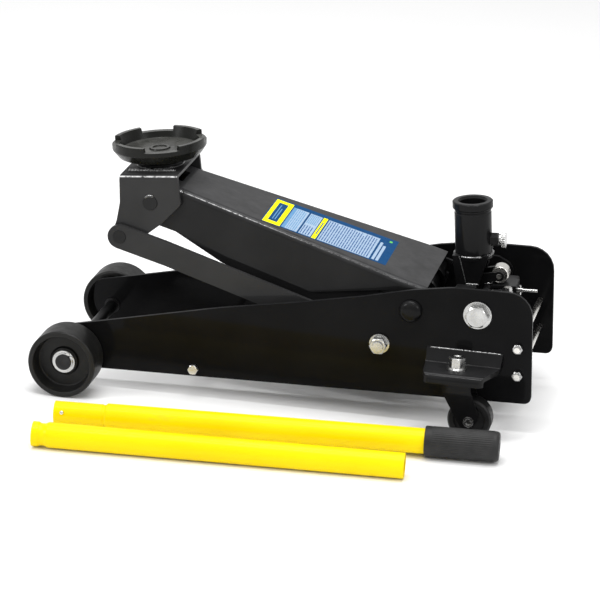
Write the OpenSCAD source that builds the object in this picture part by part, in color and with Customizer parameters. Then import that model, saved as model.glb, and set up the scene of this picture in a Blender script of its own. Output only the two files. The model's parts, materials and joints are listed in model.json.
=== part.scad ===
// Trolley jack: a wheeled hydraulic floor jack with its two-piece pump handle lying beside it.
// Millimetres, +Z up, front wheels towards -X, handle socket towards +X. "Left" is the -Y side.

/* [Frame] */
// Lift of the rear of the frame when it stands on its wheels, in degrees
frame_pitch = 2.5; // [2.3:0.1:2.6]
// Width over the two side plates
frame_w = 200; // [196:1:206]
// Thickness of a side plate
plate_t = 5; // [4:0.5:6]
// Radius of the two rear tie rods
tie_r = 4; // [3:0.5:4]

/* [Lift arm] */
// Distance between the arm's rear pivot and its front pin
arm_len = 365.3; // [355:1:375]
// Slope of the arm above the frame as it stands
arm_angle = 17.44; // [5:0.5:20]
// Half width of the arm at its rear
arm_rear_w = 84; // [80:1:85]
// Half width of the arm at its front
arm_front_w = 53; // [50:1:53]
// Plate thickness of the arm
arm_t = 5; // [4:0.5:6]
// Radius of the saddle bracket's pin
head_pin_r = 9.5; // [8:0.5:10]

/* [Saddle] */
// Radius of the saddle's rim
saddle_r = 61.4; // [56:1:66]
// Tilt of the saddle and its bracket against the frame, rear up, in degrees
head_tilt = 2.8; // [0:0.2:4]
// Height of the saddle's lower rim above the bracket's pin
rim_z = 65.7; // [64:0.5:70]
// Height of the four lugs above the lower rim
lug_h = 6; // [3:0.5:7]

/* [Handle] */
// Radius of the handle socket's bore
socket_bore_r = 17; // [16.6:0.1:18]
// Outer radius of the handle socket
socket_r = 23.8; // [22:0.2:25]
// Radius of the handle tubes
tube_r = 16; // [14:0.5:16.5]
// Length of the lower handle section
lower_len = 462; // [400:1:500]
// Length of the upper handle section's bare tube
upper_len = 468; // [400:1:480]
// Length of the grip
grip_len = 93; // [80:1:110]

/* [Wheels] */
// Radius of a front wheel
wheel_r = 44.6; // [43:0.2:46]
// Width of a front wheel
wheel_w = 44.7; // [40:0.5:48]
// Width over the two front wheels
track_w = 300.6; // [298:0.2:306]
// Radius of a caster wheel
caster_r = 28; // [27:0.5:29]
// Distance of a caster's kingpin from the middle
kingpin_y = 128; // [126:1:130]

/* [Hidden] */
$fn = 64;

LEFT = -1;
RIGHT = 1;
BLACK = [0.09, 0.09, 0.1];
DARK = [0.16, 0.16, 0.16];
STEEL = [0.75, 0.74, 0.72];
CAST = [0.2, 0.2, 0.18];
YELLOW = [0.98, 0.88, 0.05];

// Frame: points in the XZ plane of the frame, before it is pitched about the front axle
half_w = frame_w / 2;
plate_in = half_w - plate_t;
axle_r = 10.5;
axle_at = [0, wheel_r];
front_tie_at = [163, 33.8];
link_pivot_at = [407, 85.5];
arm_pivot_at = [447, 131.5];
yoke_pivot_at = [532.4, 131.9];
tie_x = 584;
tie_zs = [91, 55];
rear_x = 601.7;
arm_shaft_r = 12;
link_pin_r = 7;
yoke_pin_r = 7;
fit = 0.08;
gap = 0.35;

// Head: saddle bracket and saddle, measured from the bracket's pin
head_at = [arm_pivot_at.x - arm_len * cos(arm_angle), arm_pivot_at.y + arm_len * sin(arm_angle)];
link_offset = link_pivot_at - arm_pivot_at;
link_pin_at = head_at + link_offset;
link_pin_local = [link_offset.x * cos(head_tilt) + link_offset.y * sin(head_tilt),
    link_offset.y * cos(head_tilt) - link_offset.x * sin(head_tilt)];
bracket_w = 60;
bracket_t = 5.5;
bracket_top = 36.5;
bracket_under = 32.3;
saddle_x = 1.1;
stem_r = 13;
saddle_under = 41.2;
dish_z = rim_z - 9;
lug_start = 40;
lug_sweep = 45;

// Pump: the lever pin stands 5.5 degrees behind its mid-stroke place as the jack stands
lever_r = 48;
lever_back = 5.5;
lever_pin_r = 7;
lever_pin_at = [arm_pivot_at.x + lever_r * sin(lever_back), arm_pivot_at.y - lever_r * cos(lever_back)];
lever_in = 24;
lever_t = 8;
ram_z = 86.5;
ram_r = 12;
tank_r = 30;
gland_x = 488;
tank_x = 491;
block_x = 524;
block_rear = 564;
block_half = 44;
block_top = 139.6;
block_low = 38;
notch_half = 18;
notch_z = 118;
plunger_x = 552;
plunger_r = 5;
roller_at = [545.7, 156.4];
roller_r = 11.4;
roller_half = 10;
cap_top = roller_at.y - roller_r - gap;
cap_t = 4;
cap_half = 16;
spring_pocket_z = 108;
spring_pocket_r = 11.3;
bore_r = 16.1;
tail_r = 20;
tail_end = 545;
spring_pin_z = 60;
spring_y = 36;
valve_y = 24;
valve_z = 127;

// Handle socket: leans forwards, measured along its own axis from its lower end
socket_lean = 2;
socket_at = [510.4, 183];
socket_h = 69.1;
collar_r = 26;
collar_h = 9;
clamp_h = 17;

// Casters, in the level frame of the floor
kingpin_x = 509.5;
caster_trail = 21;
caster_half = 11.5;
fork_in = 13.2;
fork_t = 3;
shelf_top = 90;
shelf_t = 6;
shelf_out = 154;
fork_top = 76.5;

// Handle sections on the floor
handle_yaw = 4.5;
lower_start = [15, -320];
upper_start = [20, -241];
grip_r = 19.5;
tube_wall = 1.6;
spigot_r = tube_r - tube_wall - 0.1;
spigot_len = 62;
button_r = 2.4;
button_at = 11;
upper_rise = atan((grip_r - tube_r) / upper_len);

// Origin: on the floor under the middle of the whole set
rear_reach = max([for (p = plate_outline()) p.x * cos(frame_pitch) - (p.y - wheel_r) * sin(frame_pitch)]);
left_reach = -lower_start.y + tube_r * cos(handle_yaw);
origin = [(rear_reach - wheel_r) / 2, (shelf_out - left_reach) / 2];

// ---- Helpers ----

module placed() {
    translate([-origin.x, -origin.y, 0])
        children();
}

module pitched() {
    placed()
        translate([0, 0, wheel_r])
            rotate([0, -frame_pitch, 0])
                translate([0, 0, -wheel_r])
                    children();
}

// Arm's own frame: origin at the rear pivot, the arm running towards -X
module in_arm() {
    pitched()
        translate([arm_pivot_at.x, 0, arm_pivot_at.y])
            rotate([0, arm_angle, 0])
                children();
}

// Head's own frame: origin at the bracket's pin
module in_head() {
    pitched()
        translate([head_at.x, 0, head_at.y])
            rotate([0, -head_tilt, 0])
                children();
}

// Socket's own frame: origin at its lower end, +Z along its bore
module in_socket() {
    pitched()
        translate([socket_at.x, 0, socket_at.y])
            rotate([0, -socket_lean, 0])
                children();
}

module in_caster(side) {
    placed()
        translate([kingpin_x, side * kingpin_y, 0])
            children();
}

module in_handle(start, length_rise) {
    placed()
        translate([start.x, start.y, tube_r])
            rotate([0, -length_rise, handle_yaw])
                rotate([0, 90, 0])
                    children();
}

// Cylinder along Y, from y0 to y1, at a point of the XZ plane
module ycyl(at, y0, y1, r) {
    translate([at.x, y1, at.y])
        rotate([90, 0, 0])
            cylinder(h = y1 - y0, r = r);
}

// Outline of the XZ plane made solid from y0 to y1
module yplate(outline, y0, y1) {
    translate([0, y1, 0])
        rotate([90, 0, 0])
            linear_extrude(y1 - y0)
                polygon(outline);
}

// Hexagonal prism along Y
module yhex(at, y0, y1, flats) {
    translate([at.x, y1, at.y])
        rotate([90, 0, 0])
            cylinder(h = y1 - y0, r = flats / sqrt(3), $fn = 6);
}

// Hexagonal head along Y with its corners chamfered at y1
module yhead(at, y0, y1, flats) {
    corner = flats / sqrt(3);
    cut = flats * 0.08;
    intersection() {
        yhex(at, y0, y1, flats);
        yturned(at, [[0, y0], [corner + 0.2, y0], [corner + 0.2, y1 - cut - 0.15],
            [flats * 0.47, y1], [0, y1]]);
    }
}

// The same piece on both sides of the middle
module both_sides() {
    children();
    mirror([0, 1, 0])
        children();
}

// A solid of revolution about Y, profile given as [radius, y] points
module yturned(at, profile) {
    translate([at.x, 0, at.y])
        rotate([-90, 0, 0])
            rotate_extrude()
                polygon(profile);
}

function unit(v) = v / norm(v);

// Arc points that round the corner c between its neighbours p and n
function fillet(p, c, n, r, steps = 6) =
    let (a = unit(p - c), b = unit(n - c), half = acos(a * b) / 2, m = c + unit(a + b) * r / sin(half))
    let (s = c + a * r / tan(half) - m, e = c + b * r / tan(half) - m)
    let (a0 = atan2(s.y, s.x), raw = atan2(e.y, e.x) - a0)
    let (turn = raw > 180 ? raw - 360 : raw < -180 ? raw + 360 : raw)
    [for (i = [0:steps]) m + r * [cos(a0 + turn * i / steps), sin(a0 + turn * i / steps)]];

// Outline from [x, y, corner radius] triples
function rounded(pts) =
    [for (i = [0:len(pts) - 1])
        let (p = pts[(i + len(pts) - 1) % len(pts)], c = pts[i], n = pts[(i + 1) % len(pts)])
        each c.z > 0 ? fillet([p.x, p.y], [c.x, c.y], [n.x, n.y], c.z) : [[c.x, c.y]]];

// Outline of a bar with round ends between two points
function bar_outline(a, b, r) =
    let (h = atan2(b.y - a.y, b.x - a.x))
    concat([for (i = [0:12]) b + r * [cos(h - 90 + 15 * i), sin(h - 90 + 15 * i)]],
        [for (i = [0:12]) a + r * [cos(h + 90 + 15 * i), sin(h + 90 + 15 * i)]]);

// Skin between rings of an even number of points; each end is closed by a strip across the ring
module skin(rings) {
    n = len(rings[0]);
    last = len(rings) - 1;
    points = [for (ring = rings) each ring];
    sides = [for (i = [0:last - 1]) for (j = [0:n - 1])
        let (a = i * n + j, b = i * n + (j + 1) % n)
        each [[a, b, b + n], [a, b + n, a + n]]];
    start = [for (j = [0:n / 2 - 2])
        each [[n - 1 - j, n - 2 - j, j + 1], [n - 1 - j, j + 1, j]]];
    finish = [for (face = start)
        [last * n + face[0], last * n + face[2], last * n + face[1]]];
    polyhedron(points = points, faces = concat(sides, start, finish));
}

// Coil spring along +Z
module coil(radius, wire_r, length, turns) {
    per_turn = 10;
    sides = 4;
    steps = turns * per_turn;
    skin([for (i = [0:steps])
        let (a = 360 * i / per_turn, z = wire_r + (length - 2 * wire_r) * i / steps)
        [for (j = [0:sides - 1])
            let (b = 360 * j / sides, d = radius + wire_r * cos(b))
            [d * cos(a), d * sin(a), z + wire_r * sin(b)]]]);
}

// ---- Frame ----

function plate_outline() = rounded([
    [-24, 79, 12], [28, 88, 30], [199, 118.6, 200], [304, 133.3, 200], [388, 147, 200],
    [450, 159.5, 160], [500, 165.4, 60], [601.7, 163, 32], [rear_x, 17, 9],
    [487, 18.6, 60], [41, 25.6, 60], [-26, 24, 24]]);

module side_plate() {
    difference() {
        yplate(plate_outline(), plate_in, half_w);
        ycyl(axle_at, plate_in - 1, half_w + 1, axle_r);
        ycyl(front_tie_at, plate_in - 1, half_w + 1, tie_r);
        ycyl(link_pivot_at, plate_in - 1, half_w + 1, link_pin_r);
        ycyl(arm_pivot_at, plate_in - 1, half_w + 1, arm_shaft_r);
        ycyl(yoke_pivot_at, plate_in - 1, half_w + 1, yoke_pin_r);
        for (z = tie_zs)
            ycyl([tie_x, z], plate_in - 1, half_w + 1, tie_r);
    }
}

module side_plate_left() {
    color(BLACK)
        pitched()
            mirror([0, 1, 0])
                side_plate();
}

module side_plate_right() {
    color(BLACK)
        pitched()
            side_plate();
}

// Pressed shelf welded to a side plate: slopes down to a flat pad and turns over at its lip
module caster_shelf() {
    pad = shelf_top;
    under = shelf_top - shelf_t;
    lip_z = pad - 13;
    section = concat(
        [[half_w, pad + 17], [half_w + 3, pad + 16], [half_w + 11, pad + 2], [half_w + 14, pad]],
        [for (i = [0:6]) [shelf_out - 9 + 9 * sin(15 * i), pad - 9 + 9 * cos(15 * i)]],
        [[shelf_out, lip_z], [shelf_out - shelf_t, lip_z]],
        [for (i = [6:-1:0]) [shelf_out - 9 + 3 * sin(15 * i), pad - 9 + 3 * cos(15 * i)]],
        [[half_w + 12, under], [half_w + 8, under + 2], [half_w, pad + 8]]);
    plan = rounded([[466, half_w - 1, 0], [564, half_w - 1, 0], [562, half_w + 14, 14],
        [544, shelf_out + 1, 12], [470, shelf_out + 1, 14]]);
    difference() {
        intersection() {
            translate([466, 0, 0])
                rotate([90, 0, 90])
                    linear_extrude(100)
                        polygon(section);
            linear_extrude(shelf_top + 30)
                polygon(plan);
        }
        translate([kingpin_x, kingpin_y, 0])
            cylinder(h = 200, r = 6.1);
    }
}

module caster_shelf_left() {
    color(BLACK)
        placed()
            mirror([0, 1, 0])
                caster_shelf();
}

module caster_shelf_right() {
    color(BLACK)
        placed()
            caster_shelf();
}

hub_face = track_w / 2 - 14.8;

module front_axle() {
    color(DARK)
        pitched() {
            ycyl(axle_at, -plate_in, plate_in, axle_r - 2.5);
            both_sides()
                ycyl(axle_at, plate_in - 2, hub_face + 5.2, axle_r);
        }
}

// Outer washers, and spacers between wheel and side plate
module axle_washers() {
    color(STEEL)
        pitched()
            both_sides()
                difference() {
                    union() {
                        ycyl(axle_at, hub_face + gap, hub_face + gap + 2, 15);
                        ycyl(axle_at, half_w, track_w / 2 - wheel_w - gap, 15.5);
                    }
                    ycyl(axle_at, half_w - 1, track_w / 2, axle_r);
                }
}

// Retaining rings, each with two eyes beside its gap
module axle_circlips() {
    y0 = hub_face + gap + 2;
    color(DARK)
        pitched()
            both_sides()
                difference() {
                    union() {
                        ycyl(axle_at, y0, y0 + 1.4, 12);
                        for (a = [30, 60])
                            ycyl(axle_at + 12.4 * [cos(a), sin(a)], y0, y0 + 1.4, 2.1);
                    }
                    ycyl(axle_at, hub_face, track_w / 2, axle_r);
                    translate([axle_at.x, hub_face, axle_at.y])
                        rotate([0, -45, 0])
                            translate([8, 0, -1])
                                cube([8, 10, 2]);
                }
}

module front_tie_bolt() {
    color(STEEL)
        pitched() {
            ycyl(front_tie_at, -half_w - 1, half_w + 8, tie_r);
            mirror([0, 1, 0])
                yhead(front_tie_at, half_w, half_w + 7, 12);
        }
}

module rear_tie_rods() {
    color(STEEL)
        pitched()
            for (z = tie_zs)
                ycyl([tie_x, z], -half_w - 9, half_w + 9, tie_r);
}

// Lock nut with a round collar at its outer end, its flat face at y = half_w
module tie_nut(at, flats, h) {
    difference() {
        union() {
            yhead(at, half_w, half_w + h - 2, flats);
            ycyl(at, half_w + h - 2, half_w + h, flats * 0.42);
        }
        ycyl(at, half_w - 1, half_w + h + 1, tie_r);
    }
}

module tie_nuts() {
    color(STEEL)
        pitched() {
            for (z = tie_zs)
                both_sides()
                    tie_nut([tie_x, z], 12, 8);
            tie_nut(front_tie_at, 12, 7);
        }
}

module arm_pivot_shaft() {
    color(STEEL)
        pitched()
            ycyl(arm_pivot_at, -half_w - 1, half_w + 1, arm_shaft_r);
}

module arm_pivot_caps() {
    dome = [[0, half_w + 1], [arm_shaft_r, half_w + 1], [arm_shaft_r, half_w], [14.5, half_w],
        [14.5, half_w + 3], [13.2, half_w + 5.6], [10.2, half_w + 7.8], [6, half_w + 9], [0, half_w + 9.4]];
    color(BLACK)
        pitched()
            both_sides()
                yturned(arm_pivot_at, dome);
}

link_in = 86.3;
link_t = 6;

// Shoulder bolts that carry the links: thin head inside, plain shank through the plate, nut outside
module link_pivot_bolts() {
    color(STEEL)
        pitched()
            both_sides() {
                ycyl(link_pivot_at, link_in - 0.6, half_w + 16, link_pin_r);
                ycyl(link_pivot_at, link_in + link_t + 0.2, plate_in, 10);
                ycyl(link_pivot_at, link_in - 1.4, link_in - 0.2, 10);
            }
}

module link_pivot_nuts() {
    color(STEEL)
        pitched()
            both_sides()
                difference() {
                    union() {
                        ycyl(link_pivot_at, half_w, half_w + 2.5, 13);
                        yhead(link_pivot_at, half_w + 2.5, half_w + 13.5, 20);
                    }
                    ycyl(link_pivot_at, half_w - 1, half_w + 20, link_pin_r);
                }
}

// Flange bolts that hold the pump block between the plates and carry the yoke
module yoke_pivot_bolts() {
    color(STEEL)
        pitched()
            both_sides() {
                ycyl(yoke_pivot_at, block_half + 12, half_w, yoke_pin_r);
                ycyl(yoke_pivot_at, half_w, half_w + 2.5, 18);
                ycyl(yoke_pivot_at, half_w + 2.5, half_w + 4, 16);
                yhead(yoke_pivot_at, half_w + 4, half_w + 12, 26);
            }
}

// ---- Hydraulic unit ----

module pump_block() {
    outline = rounded([[block_x, block_low, 4], [block_rear, block_low, 4], [block_rear, block_top, 3],
        [block_x, block_top, 4]]);
    trunnion_end = 80;
    color(DARK)
        pitched()
            difference() {
                union() {
                    yplate(outline, -block_half, block_half);
                    both_sides()
                        ycyl(yoke_pivot_at, block_half - 1, trunnion_end, 11);
                    translate([block_x - 8, -34, block_low])
                        cube([12, 68, 10]);
                }
                translate([plunger_x - notch_half, -notch_half, notch_z])
                    cube([60, 2 * notch_half, 60]);
                translate([plunger_x, 0, spring_pocket_z])
                    cylinder(h = 60, r = spring_pocket_r);
                translate([plunger_x, 0, 44])
                    cylinder(h = 66, r = plunger_r + fit);
                along_ram(block_x - 10, tail_end + 0.1, tail_r);
                for (side = [LEFT, RIGHT]) {
                    mirror([0, side < 0 ? 1 : 0, 0])
                        ycyl(yoke_pivot_at, block_half + 12, trunnion_end + 1, yoke_pin_r);
                    translate([block_x - 9, side * spring_y, spring_pin_z])
                        rotate([0, 90, 0])
                            cylinder(h = 12, r = 7);
                }
                translate([block_rear - 20, valve_y, valve_z])
                    rotate([0, 90, 0])
                        cylinder(h = 30, r = 3 + fit);
                for (p = plug_places())
                    translate([p.x, p.y, block_top - 8])
                        cylinder(h = 20, r = 4);
            }
}

// Places on the block's top: blanking plug, filler and pressure valves
function plug_places() = [[537.4, -30, 0], [559, -25, 1], [537.4, 30, 1], [529.5, 6, 0]];

module block_plugs() {
    color(STEEL)
        pitched()
            for (p = plug_places())
                translate([p.x, p.y, block_top - 8]) {
                    cylinder(h = 8, r = 4);
                    translate([0, 0, 8])
                        cylinder(h = 1.5, r = 5.6);
                    if (p.z == 1)
                        translate([0, 0, 9.5])
                            cylinder(h = 5, r = 5.2, $fn = 6);
                    if (p.z == 0)
                        translate([0, 0, 9.5])
                            cylinder(h = 2, r1 = 5, r2 = 3);
                }
}

module along_ram(x0, x1, r) {
    translate([x0, 0, ram_z])
        rotate([0, 90, 0])
            cylinder(h = x1 - x0, r = r);
}

module cylinder_tank() {
    color(DARK)
        pitched()
            difference() {
                union() {
                    along_ram(tank_x, block_x, tank_r);
                    along_ram(block_x, tail_end, tail_r);
                }
                along_ram(tank_x - 1, tail_end + 1, bore_r);
            }
}

module gland_nut() {
    color(STEEL)
        pitched()
            difference() {
                along_ram(gland_x, tank_x, 22);
                along_ram(gland_x - 1, tank_x + 1, ram_r + fit);
            }
}

module ram() {
    nose = lever_pin_at.x + 10;
    color(STEEL)
        pitched() {
            along_ram(nose, 522, ram_r);
            along_ram(521, 525, bore_r - fit);
        }
}

// Block on the ram's nose with an upright slot for the lever pin and a cross bar for the springs
module crosshead() {
    half_x = 14;
    slot_half = lever_pin_r + 0.7;
    color(DARK)
        pitched()
            difference() {
                union() {
                    translate([lever_pin_at.x - half_x, -lever_in + 0.8, spring_pin_z - 5])
                        cube([2 * half_x, 2 * (lever_in - 0.8), 50]);
                    ycyl([lever_pin_at.x + 4, spring_pin_z], -spring_y - 5, spring_y + 5, 3.5);
                }
                translate([lever_pin_at.x - slot_half, -40, 75])
                    cube([2 * slot_half, 80, 23]);
                along_ram(lever_pin_at.x + 10, lever_pin_at.x + 30, ram_r);
            }
}

// Pull-back springs from the crosshead's bar to pockets in the block
module return_springs() {
    x0 = lever_pin_at.x + 8;
    color(STEEL)
        pitched()
            for (side = [LEFT, RIGHT])
                translate([x0, side * spring_y, spring_pin_z])
                    rotate([0, 90, 0])
                        coil(5, 1, block_x + 1 - x0, 14);
}

module pump_plunger() {
    color(STEEL)
        pitched()
            translate([plunger_x, 0, 68])
                cylinder(h = cap_top - cap_t - 68, r = plunger_r);
}

module plunger_cap() {
    color(STEEL)
        pitched()
            translate([plunger_x - cap_half, -cap_half, cap_top - cap_t])
                cube([2 * cap_half, 2 * cap_half, cap_t]);
}

module pump_spring() {
    color(STEEL)
        pitched()
            translate([plunger_x, 0, spring_pocket_z])
                coil(9, 1.2, cap_top - cap_t - spring_pocket_z, 5);
}

module release_valve() {
    color(STEEL)
        pitched()
            difference() {
                translate([block_rear - 18, valve_y, valve_z])
                    rotate([0, 90, 0]) {
                        cylinder(h = 25, r = 3);
                        cylinder(h = 44, r = 1.9);
                    }
                translate([block_rear + 3.5, valve_y, valve_z - 10])
                    cylinder(h = 20, r = 1.6);
            }
}

module release_cross_pin() {
    color(STEEL)
        pitched()
            translate([block_rear + 3.5, valve_y, valve_z - 6.5])
                cylinder(h = 13, r = 1.6);
}

// ---- Handle socket and yoke ----

module socket_tube() {
    color(BLACK)
        in_socket()
            difference() {
                rotate_extrude()
                    polygon([[socket_bore_r, 0], [socket_r - 1, 0], [socket_r, 1], [socket_r, socket_h - 16],
                        [socket_r - 0.8, socket_h - 15], [socket_r - 0.8, socket_h - 13.5],
                        [socket_r, socket_h - 12.5], [socket_r, socket_h - collar_h - 1.5],
                        [collar_r, socket_h - collar_h], [collar_r, socket_h - 1.2],
                        [collar_r - 1.4, socket_h], [socket_bore_r + 2, socket_h],
                        [socket_bore_r, socket_h - 3]]);
                translate([0, 0, clamp_h])
                    rotate([0, 90, 0])
                        cylinder(h = 40, r = 5);
            }
}

// Tapered neck welded under the tube: front plate and two cheeks
module yoke_neck() {
    front = [[486.6, 184], [494.5, 184], [503.5, 146], [492, 146]];
    cheek = [[494.5, 184], [532.5, 184], [521, 146], [503.5, 146]];
    ring = 24.5;
    color(BLACK) {
        pitched()
            difference() {
                union() {
                    yplate(front, -25, 25);
                    both_sides()
                        yplate(cheek, 16, 22);
                    translate([500, 0.3 - roller_half, 146])
                        cube([22, 2 * roller_half - 0.6, 5]);
                }
                in_place_of_tube();
            }
        in_socket()
            translate([0, 0, -6])
                difference() {
                    cylinder(h = 6, r = ring);
                    translate([0, 0, -1])
                        cylinder(h = 8, r = socket_bore_r);
                }
    }
}

// Space that the tube and the ring below it take up
module in_place_of_tube() {
    translate([socket_at.x, 0, socket_at.y])
        rotate([0, -socket_lean, 0])
            translate([0, 0, -6])
                cylinder(h = 20, r = 24.5);
}

// Cross beam with two cheeks on the yoke pivot, and the two lugs of the pump roller
module yoke_fork() {
    beam = rounded([[493, 138, 3], [519, 138, 3], [519, 146, 1], [493, 146, 1]]);
    cheek = rounded([[497, 138, 3], [514, 132, 0], [514, 126, 0], [522, 115, 6], [545, 115, 14],
        [551, 140, 14], [530, 152, 10], [500, 152, 5]]);
    lug = [[504, 145], [523, 145], [543, 150.4], [546, 156], [543.5, 162], [516, 157], [504, 156]];
    cheek_in = 82;
    cheek_out = 88;
    color(BLACK)
        pitched()
            difference() {
                union() {
                    yplate(beam, -cheek_out, cheek_out);
                    both_sides() {
                        yplate(cheek, cheek_in, cheek_out);
                        yplate(lug, roller_half + 0.8, 15.8);
                        ycyl(roller_at, roller_half + 0.8, 15.8, 6.4);
                    }
                }
                both_sides()
                    ycyl(yoke_pivot_at, cheek_in - 1, cheek_out + 1, yoke_pin_r + fit);
                ycyl(roller_at, -20, 20, 3.5);
            }
}

module pump_roller() {
    color(STEEL)
        pitched()
            yturned(roller_at, [[3.5 + fit, -roller_half], [roller_r - 1, -roller_half],
                [roller_r, 1 - roller_half], [roller_r, roller_half - 1],
                [roller_r - 1, roller_half], [3.5 + fit, roller_half]]);
}

module roller_pin() {
    color(STEEL)
        pitched()
            ycyl(roller_at, -16.8, 16.8, 3.5);
}

module clamp_boss() {
    color(BLACK)
        in_socket()
            difference() {
                translate([socket_r - 2.5, 0, clamp_h])
                    rotate([0, 90, 0])
                        cylinder(h = 11.5, r = 9, $fn = 6);
                translate([socket_r - 4, 0, clamp_h])
                    rotate([0, 90, 0])
                        cylinder(h = 20, r = 4 + fit);
                cylinder(h = 40, r = socket_r);
            }
}

// Thumb screw with a round knurled head
module clamp_screw() {
    head_x = socket_r + 13;
    teeth = 24;
    color(STEEL)
        in_socket()
            translate([0, 0, clamp_h])
                rotate([0, 90, 0])
                    difference() {
                        union() {
                            translate([0, 0, socket_bore_r + 1])
                                cylinder(h = head_x - socket_bore_r, r = 4);
                            translate([0, 0, head_x - 3])
                                cylinder(h = 3, r = 7);
                            translate([0, 0, head_x])
                                cylinder(h = 5, r = 10.5);
                        }
                        for (i = [0:teeth - 1])
                            rotate([0, 0, 360 * i / teeth])
                                translate([11, 0, head_x - 1])
                                    cylinder(h = 7, r = 0.9, $fn = 16);
                    }
}

// ---- Lift arm ----

arm_top = 28.8;
arm_bend = 9;
arm_inset = 4;
arm_nose = arm_len + arm_top;
slot_from = arm_len - 26;
slot_half = 20;

// Plan of one face of the arm, d inside its outer walls: wide at the rear, narrow towards the nose
function arm_plan(d, rear) =
    let (side = [[rear, arm_rear_w - d], [-20, arm_rear_w - d],
        [-330, arm_front_w - d], [-arm_nose - 1, arm_front_w - d]])
    concat(side, [for (i = [len(side) - 1:-1:0]) [side[i].x, -side[i].y]]);

// Side view of the arm: nose about the front pin, deep belly, heel about the rear pivot
arm_side = concat(
    [for (i = [0:10]) [-arm_len - arm_top * sin(15 * i), arm_top * cos(15 * i)]],
    [[-345, -25], [-330, -27.5], [-252, -44.5], [-130, -44], [-40, -39]],
    [for (i = [0:4]) [25 * cos(-100 + 15 * i), 25 * sin(-100 + 15 * i)]],
    [[19, arm_top]]);

// Side view of the strip below the crease, where the walls are pressed inwards
arm_strip = [[-arm_nose - 5, -24], [-345, -24], [-252, -32.5], [-130, -33], [-40, 8], [0, 19], [20, 12],
    [40, -70], [-arm_nose - 5, -70]];

module arm_block(d, rear, top) {
    translate([0, 0, -80])
        linear_extrude(80 + top)
            polygon(arm_plan(d, rear));
}

// What is cut off the top plate behind its chamfered rear edge
module arm_rear_cut() {
    half = arm_rear_w + 5;
    translate([0, 0, arm_top - arm_bend - 2])
        linear_extrude(40)
            polygon([[60, -half], [1.4, -half], [1.4, -arm_rear_w], [9, 4.5 - arm_rear_w],
                [9, arm_rear_w - 4.5], [1.4, arm_rear_w], [1.4, half], [60, half]]);
}

// What is taken off one top edge to bend the plate round it, from x0 forwards by a length
module arm_edge(at, angle, length) {
    translate([at.x, at.y, arm_top])
        rotate([0, 0, angle])
            rotate([90, 0, -90])
                linear_extrude(length)
                    polygon(concat([[-1, 1], [-1, -arm_bend]],
                        [for (i = [0:6])
                            [arm_bend - arm_bend * cos(15 * i), arm_bend * sin(15 * i) - arm_bend]],
                        [[arm_bend, 1]]));
}

module lift_arm() {
    taper = atan((arm_rear_w - arm_front_w) / 310);
    wide = arm_rear_w + 1;
    color(BLACK)
        in_arm()
            difference() {
                intersection() {
                    arm_block(0, 19, arm_top);
                    yplate(arm_side, -wide, wide);
                }
                difference() {
                    yplate(arm_strip, -wide, wide);
                    arm_block(arm_inset, 60, 1);
                }
                difference() {
                    arm_block(arm_t, 60, arm_top - arm_t);
                    yplate(arm_strip, -wide, wide);
                }
                arm_block(arm_t + arm_inset, 60, arm_top - arm_t - 2);
                arm_rear_cut();
                both_sides() {
                    arm_edge([30, arm_rear_w], 0, 50);
                    arm_edge([-20, arm_rear_w], taper, 311.5);
                    arm_edge([-330, arm_front_w], 0, 80);
                }
                translate([-arm_nose - 5, -slot_half, -40])
                    cube([arm_nose + 5 - slot_from, 2 * slot_half, 80]);
                ycyl([0, 0], -wide, wide, 16);
                ycyl([-arm_len, 0], -wide, wide, 14);
            }
}

// Tubes welded across the arm: pivot hub at the rear, pin hub at the front
module arm_hub() {
    rear_half = arm_rear_w;
    color(BLACK)
        in_arm() {
            difference() {
                ycyl([0, 0], -rear_half, rear_half, 16);
                ycyl([0, 0], -rear_half - 1, rear_half + 1, arm_shaft_r + fit);
            }
            difference() {
                ycyl([-arm_len, 0], -arm_front_w, arm_front_w, 14);
                ycyl([-arm_len, 0], -arm_front_w - 1, arm_front_w + 1, head_pin_r + fit);
            }
        }
}

module arm_levers() {
    color(BLACK)
        pitched()
            both_sides()
                difference() {
                    union() {
                        yplate(bar_outline(lever_pin_at, arm_pivot_at, 14), lever_in, lever_in + lever_t);
                        ycyl(arm_pivot_at, lever_in, lever_in + lever_t, 22);
                    }
                    ycyl(arm_pivot_at, lever_in - 1, lever_in + lever_t + 1, 16);
                    ycyl(lever_pin_at, lever_in - 1, lever_in + lever_t + 1, lever_pin_r);
                }
}

module lever_pin() {
    color(STEEL)
        pitched()
            ycyl(lever_pin_at, -lever_in - lever_t - 2, lever_in + lever_t + 2, lever_pin_r);
}

// ---- Head ----

module head_pin() {
    color(BLACK)
        in_head()
            ycyl([0, 0], -bracket_w - 0.8, bracket_w + 0.8, head_pin_r);
}

function bracket_outline() = rounded([
    [-38.7, bracket_top, 0], [38.5, bracket_top, 0], [40.4, -3, 8], [13.1, -28.2, 8],
    [-7.6, -42.7, 10], [-31, -57, 8], [-54.5, -57, 12], [-54.5, -42, 10], [-46.7, -24, 14],
    [-40.6, 0, 30]]);

// Bent channel: a top plate with a cheek on each side
module saddle_bracket() {
    inner = bracket_w - bracket_t;
    color(BLACK)
        in_head()
            difference() {
                intersection() {
                    yplate(bracket_outline(), -bracket_w, bracket_w);
                    translate([-60, 0, 0])
                        rotate([90, 0, 90])
                            linear_extrude(120)
                                polygon(rounded([[-bracket_w, bracket_top, 6], [bracket_w, bracket_top, 6],
                                    [bracket_w, -70, 0], [-bracket_w, -70, 0]]));
                }
                translate([-70, 0, 0])
                    rotate([90, 0, 90])
                        linear_extrude(140)
                            polygon(rounded([[-inner, bracket_under, 1], [inner, bracket_under, 1],
                                [inner, -80, 0], [-inner, -80, 0]]));
                ycyl([0, 0], -bracket_w - 1, bracket_w + 1, head_pin_r);
                ycyl(link_pin_local, -bracket_w - 1, bracket_w + 1, 8.5);
                translate([saddle_x, 0, 0])
                    cylinder(h = 60, r = stem_r + fit);
            }
}

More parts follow.
